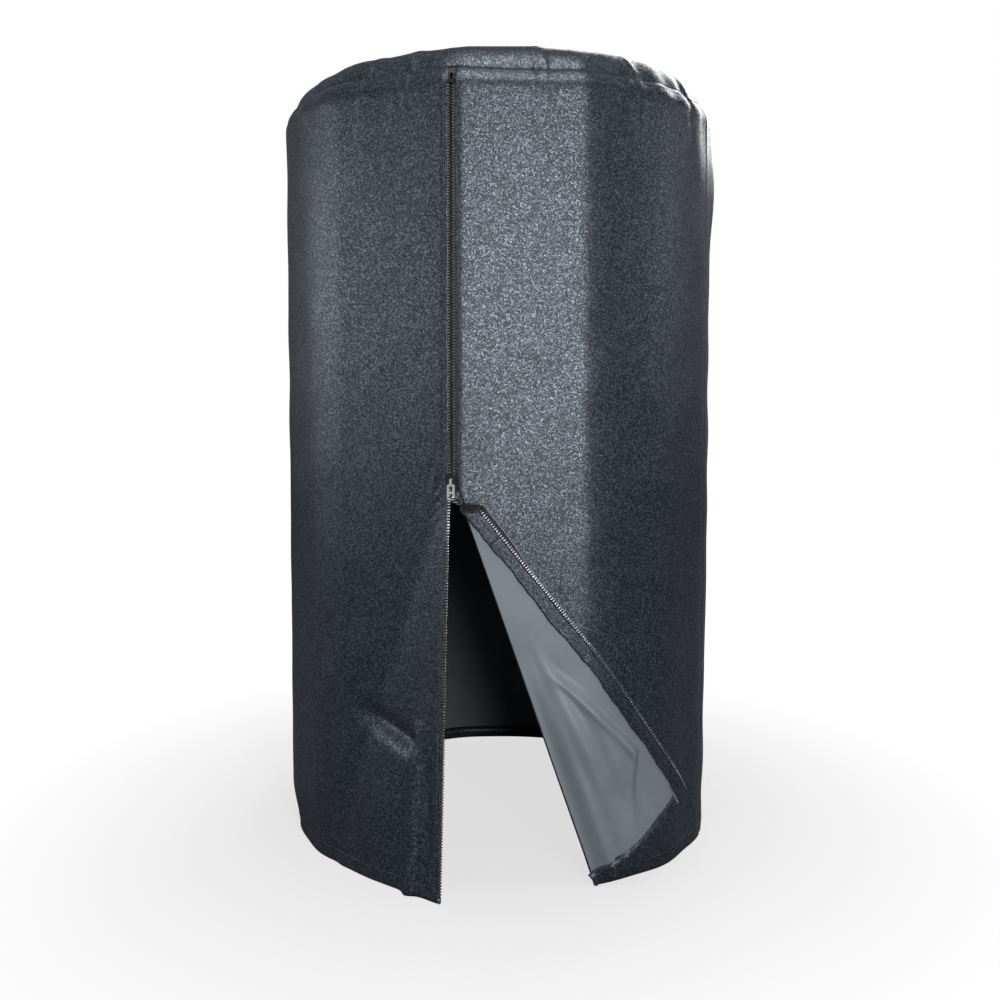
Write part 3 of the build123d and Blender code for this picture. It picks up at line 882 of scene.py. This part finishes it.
tooth_across = np.array([0.0049, 0.0040, 0.0026, 0.0019, 0.0012, 0.0006])
tooth_half = np.array([0.00080, 0.00090, 0.00088, 0.00060, 0.00078, 0.00040])
tooth_layers = np.array([[-0.0006, 0.80, 1.0], [-0.0003, 1.0, 0.7], [0.0031, 1.0, 0.5], [0.0034, 0.80, 0.9]])
stop_across = np.array([0.0052, 0.0042, 0.0032, 0.0022, 0.0016, 0.0013])
stop_half = np.array([0.0024, 0.0030, 0.0031, 0.0031, 0.0028, 0.0022])


def tooth_row(name, shape, centres, across, low_half):
    """A tooth at each height, as one mesh: every tooth's rings are mapped together by the shape,
    joined by quads, and closed by a face at each end."""
    ring_along, ring_height, ring_depth, ring_front = tooth_grid(across, low_half, tooth_layers)
    rings, around = ring_along.shape
    heights = np.asarray(centres)[:, None, None] + ring_height[None]
    points = shape(np.broadcast_to(ring_along, heights.shape), heights,
                   np.broadcast_to(ring_depth, heights.shape))
    number = np.arange(rings * around).reshape(rings, around)
    ahead = np.roll(number, -1, 1)
    walls = np.stack([number[:-1], ahead[:-1], ahead[1:], number[1:]], -1).reshape(-1, 4)
    starts = np.arange(len(centres))[:, None, None] * rings * around
    mesh = bpy.data.meshes.new(name)
    faces = (walls[None] + starts).reshape(-1, 4).tolist()
    for end in (number[0][::-1], number[-1]):
        faces += (end[None] + starts[:, :, 0]).tolist()
    mesh.from_pydata(points.reshape(-1, 3).tolist(), [], faces)
    loops = np.zeros(len(mesh.loops), np.int32)
    mesh.loops.foreach_get("vertex_index", loops)
    front = np.tile(ring_front.reshape(-1), len(centres))[loops]
    mesh.uv_layers.new(name="cloth").data.foreach_set("uv", np.stack([front, front],
                                                                     -1).reshape(-1).astype(np.float32))
    mesh.polygons.foreach_set("use_smooth", np.zeros(len(mesh.polygons), bool))
    mesh.materials.append(tooth_metal)
    piece = bpy.data.objects.new(name, mesh)
    scene.collection.objects.link(piece)
    shell = bmesh.new()
    shell.from_mesh(mesh)
    bmesh.ops.recalc_face_normals(shell, faces=shell.faces)
    shell.to_mesh(mesh)
    shell.free()
    return piece


chain_top = 1.118
closed_from = 0.568
stop_height = 0.0034
right_centres = np.arange(0.0105, chain_top, tooth_pitch)
upper_centres = right_centres[right_centres > closed_from]
twist_centres = right_centres[(right_centres > split_height) & (right_centres < closed_from)]
flap_centres = right_centres[right_centres < split_height]
tooth = (tooth_across, tooth_half)
stop = (stop_across, stop_half)
for name, shape, centres, outline, follow, nodes in (
        ("left_teeth_row", left_front, np.arange(0.0085, chain_top, tooth_pitch), tooth, bend_left,
         ["left_teeth_upper", "left_flap_teeth"]),
        ("right_teeth_row", on_cover, upper_centres, tooth, ride_cover, ["right_teeth_upper"]),
        ("right_teeth_twist", right_flap, twist_centres, tooth, twist_right, []),
        ("right_flap_teeth_row", right_flap, flap_centres, tooth, lay_right, ["right_flap_teeth"]),
        ("left_end_stop", left_front, [stop_height], stop, bend_left, ["left_flap_end_stop"]),
        ("right_end_stop", right_flap, [stop_height], stop, lay_right, ["right_flap_end_stop"])):
    row = tooth_row(name, shape, centres, *outline)
    follow(row)
    if nodes:
        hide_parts(*nodes)


# --- Slider, bridge, pull tab and top stop ----------------------------------------------------
# A dark cast body that slides on the teeth, its bridge and a stamped tab in bright nickel plate
# with fine scratches, and a dark stop clamped above the last teeth.
nickel, nickel_tree, nickel_shader = new_material("nickel_plate", 0.40, metallic=0.9)
nickel_place = place_of(nickel_tree)
scratch = noise_node(nickel_tree, stretched(nickel_tree, nickel_place, 9.0, 1.0), 700.0, 3.0, 0.6)
tarnish = noise_node(nickel_tree, nickel_place, 260.0, 4.0, 0.6)
nickel_tree.links.new(colour_mix(nickel_tree, tarnish, (1.0, 0.99, 0.97), (0.80, 0.79, 0.77)),
                      nickel_shader.inputs["Base Color"])
nickel_tree.links.new(math_node(nickel_tree, "ADD", math_node(nickel_tree, "MULTIPLY", scratch, 0.24), 0.34),
                      nickel_shader.inputs["Roughness"])
bumped(nickel_tree, nickel_shader, scratch, 0.00004, 0.3)
for name in ("slider_body", "slider_bridge", "pull_tab", "top_stop"):
    plate = nickel if name in ("slider_bridge", "pull_tab") else tooth_metal
    casting = frame["nodes"][name].data
    casting.materials.clear()
    casting.materials.append(plate)


# --- Stitching --------------------------------------------------------------------------------
# Grey thread in short raised stitches: round the hem, under the top seam, beside both side seams,
# and beside the zip.
thread, thread_tree, thread_shader = new_material("thread", 0.6)
ply = noise_node(thread_tree, place_of(thread_tree), 2600.0, 2.0, 0.6)
thread_tree.links.new(colour_mix(thread_tree, ply, (0.045, 0.05, 0.058), (0.15, 0.16, 0.175)),
                      thread_shader.inputs["Base Color"])
bumped(thread_tree, thread_shader, ply, 0.0001, 0.5)
stitch_length, stitch_gap, stitch_half = 0.0034, 0.0010, 0.00042


def stitch_row(name, shape, along_at, height_at, steps, depth):
    """Stitches along a line of the cloth: along_at and height_at give the line for each step from 0
    to 1. Each stitch is a spindle of six-sided rings, tapered at both ends."""
    share = (np.arange(steps) + 0.5) / steps
    small = 0.25 / steps
    middle = np.stack([along_at(share), height_at(share)], -1)
    ahead = np.stack([along_at(share + small), height_at(share + small)], -1) - middle
    ahead = ahead / np.linalg.norm(ahead, axis=-1, keepdims=True)
    beside = np.stack([-ahead[:, 1], ahead[:, 0]], -1)
    run = np.linspace(-0.5, 0.5, 5) * stitch_length
    fat = stitch_half * np.sqrt(np.clip(1.02 - (run / stitch_length * 2) ** 2, 0.02, 1))
    angle = np.arange(6) * pi / 3
    spot = (middle[:, None, None] + ahead[:, None, None] * run[None, :, None, None]
            + beside[:, None, None] * (fat[:, None] * np.cos(angle))[None, :, :, None])
    sunk = np.broadcast_to(depth - fat[:, None] * np.sin(angle)[None], spot.shape[:-1])
    points = shape(spot[..., 0], spot[..., 1], sunk)
    number = np.arange(30).reshape(5, 6)
    ahead_number = np.roll(number, -1, 1)
    walls = np.stack([number[:-1], ahead_number[:-1], ahead_number[1:], number[1:]], -1).reshape(-1, 4)
    starts = (np.arange(steps) * 30)[:, None, None]
    faces = (walls[None] + starts).reshape(-1, 4).tolist()
    for end in (number[0][::-1], number[-1]):
        faces += (end[None] + starts[:, :, 0]).tolist()
    mesh = bpy.data.meshes.new(name)
    mesh.from_pydata(points.reshape(-1, 3).tolist(), [], faces)
    mesh.polygons.foreach_set("use_smooth", np.ones(len(mesh.polygons), bool))
    mesh.materials.append(thread)
    piece = bpy.data.objects.new(name, mesh)
    scene.collection.objects.link(piece)
    return piece


def level_line(first, last):
    """A line round the cover between two distances from the zip."""
    return lambda share: first + (last - first) * share


def constant(value):
    """A line that stays at one value."""
    return lambda share: value + 0 * share


stitch_step = stitch_length + stitch_gap
hem_line = hem_height - 0.003
under_top = side_height - 0.007
sewn_depth = -0.0001
lining_depth = 0.0012 + 0.0007
facing_sewn = 0.0105
right_sewn_from = fold_top + 0.014


def beside_edge(share):
    """The stitch line that follows the turned edge beside the closed zip."""
    return turned_edge(right_sewn_from + (tape_top - right_sewn_from) * share) + 0.0030


around = (
    ("back_hem_stitches", on_cover, seam_along, back_run_end, hem_line, ride_cover),
    ("right_hem_stitches", on_cover, fold_line(0.02) + 0.004, seam_along, hem_line, ride_cover),
    ("right_top_stitches", on_cover, 0.012, seam_along, under_top, ride_cover),
    ("back_top_stitches", on_cover, seam_along, back_run_end, under_top, ride_cover),
    ("left_hem_stitches", left_front, 0.008, seam_along, hem_line, bend_left),
    ("left_top_stitches", left_front, 0.012, seam_along, under_top, bend_left))
for name, shape, first, last, height, follow in around:
    steps = int((last - first) / stitch_step)
    follow(stitch_row(name, shape, level_line(first, last), constant(height), steps, sewn_depth))
left_zip_steps = int(tape_top / stitch_step)
right_zip_steps = int((tape_top - fold_top) / stitch_step)
flap_zip_steps = int(split_height / stitch_step)
flap_hem_steps = int((fold_line(0.02) - 0.040) / stitch_step)
side_steps = int((side_height - 0.016) / stitch_step)
bend_left(stitch_row("left_zip_stitches", left_front, constant(facing_sewn), level_line(0.004, tape_top),
                     left_zip_steps, sewn_depth))
ride_cover(stitch_row("right_zip_stitches", on_cover, beside_edge, level_line(right_sewn_from, tape_top),
                      right_zip_steps, sewn_depth))
lay_right(stitch_row("right_flap_zip_stitches", right_flap, constant(facing_sewn),
                     level_line(0.003, split_height),
                     flap_zip_steps, facing_depth + 0.0007))
lay_right(stitch_row("right_flap_hem_stitches", right_flap, level_line(0.034, fold_line(0.02) - 0.006),
                     constant(hem_line), flap_hem_steps, lining_depth))
for side, word in ((-1, "left"), (1, "right")):
    ride_cover(stitch_row(f"{word}_side_seam_stitches", on_cover, constant(side * (seam_along - 0.0035)),
                          level_line(0.006, seam_top), side_steps, sewn_depth))
